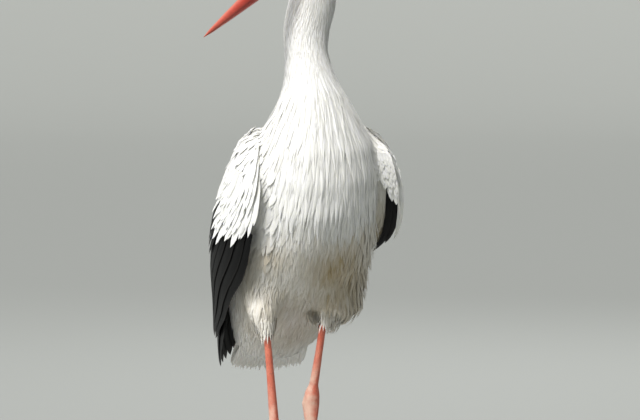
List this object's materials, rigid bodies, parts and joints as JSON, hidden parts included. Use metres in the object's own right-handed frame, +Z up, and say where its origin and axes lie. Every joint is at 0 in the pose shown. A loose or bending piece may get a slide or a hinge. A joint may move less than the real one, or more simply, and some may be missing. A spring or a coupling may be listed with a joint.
{
  "type": "white stork model",
  "caption": "Life-size standing white stork with its head turned to its right, folded wings and long red bill and legs",
  "frame": {"origin": "on the floor under the middle of the bird's bounding box", "axes": "+Z up from the floor to the crown, the bird faces -Y, its left side is +X"},
  "size_m": [0.3068, 0.4104, 0.9087],
  "materials": {
    "white_feather": "soft matte white feather",
    "black_feather": "black flight feather with a faint sheen",
    "red_horn": "satin red horn of the bill",
    "red_skin": "red scaled skin of the legs",
    "eye_dark": "wet dark eye",
    "claw_dark": "dark horn of the claws"
  },
  "bodies": {
    "root": {"head": "white_feather", "neck": "white_feather", "trunk": "white_feather", "tail": "white_feather", "thigh_left": "white_feather", "thigh_right": "white_feather", "wing_left_coverts": "white_feather", "wing_right_coverts": "white_feather", "wing_left_secondaries": "black_feather", "wing_right_secondaries": "black_feather", "wing_left_primaries": "black_feather", "wing_right_primaries": "black_feather", "bill_upper": "red_horn", "bill_lower": "red_horn", "eye_left": "eye_dark", "eye_right": "eye_dark", "tibia_left": "red_skin", "tibia_right": "red_skin", "shank_left": "red_skin", "shank_right": "red_skin", "foot_left": "red_skin", "foot_right": "red_skin", "claw_left_inner": "claw_dark", "claw_left_middle": "claw_dark", "claw_left_outer": "claw_dark", "claw_left_hind": "claw_dark", "claw_right_inner": "claw_dark", "claw_right_middle": "claw_dark", "claw_right_outer": "claw_dark", "claw_right_hind": "claw_dark"}
  },
  "joints": []
}
